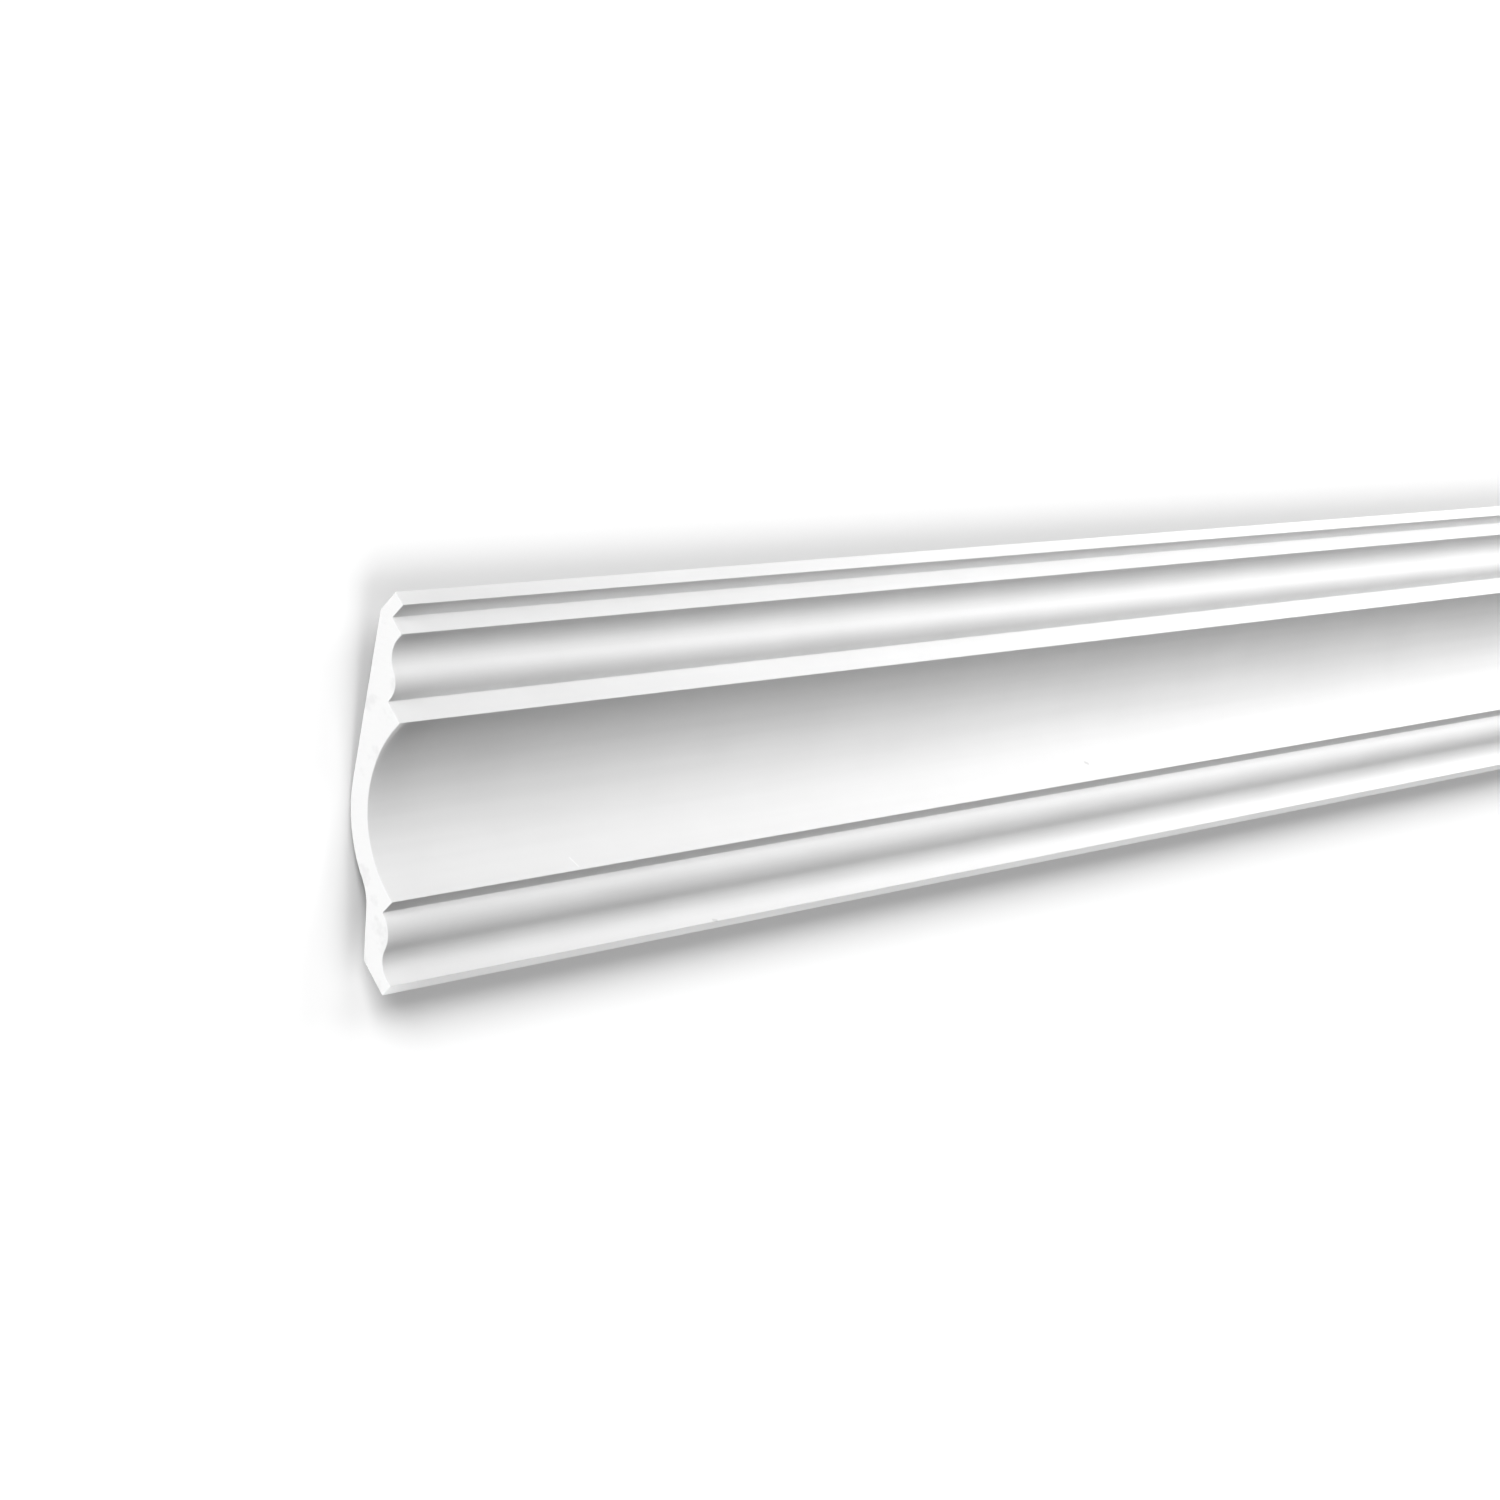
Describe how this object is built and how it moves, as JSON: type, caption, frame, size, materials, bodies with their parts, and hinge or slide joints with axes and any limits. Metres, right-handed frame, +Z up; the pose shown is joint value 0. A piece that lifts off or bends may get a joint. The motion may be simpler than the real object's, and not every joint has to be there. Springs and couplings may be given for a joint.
{
  "type": "crown moulding length",
  "caption": "Straight length of crown moulding with a lip, step, ogee, band, deep cove and ogee foot, cut square at both ends, to fix across the corner of a wall and a ceiling.",
  "frame": {"origin": "middle of the face that beds on the wall", "axes": "+X along the length, +Y into the wall, +Z up to the ceiling"},
  "size_m": [1, 0.106, 0.11],
  "materials": {
    "primed_foam": "smooth factory primer, satin to matte, on moulded polyurethane foam"
  },
  "bodies": {
    "root": {"moulding": "primed_foam"}
  },
  "joints": []
}
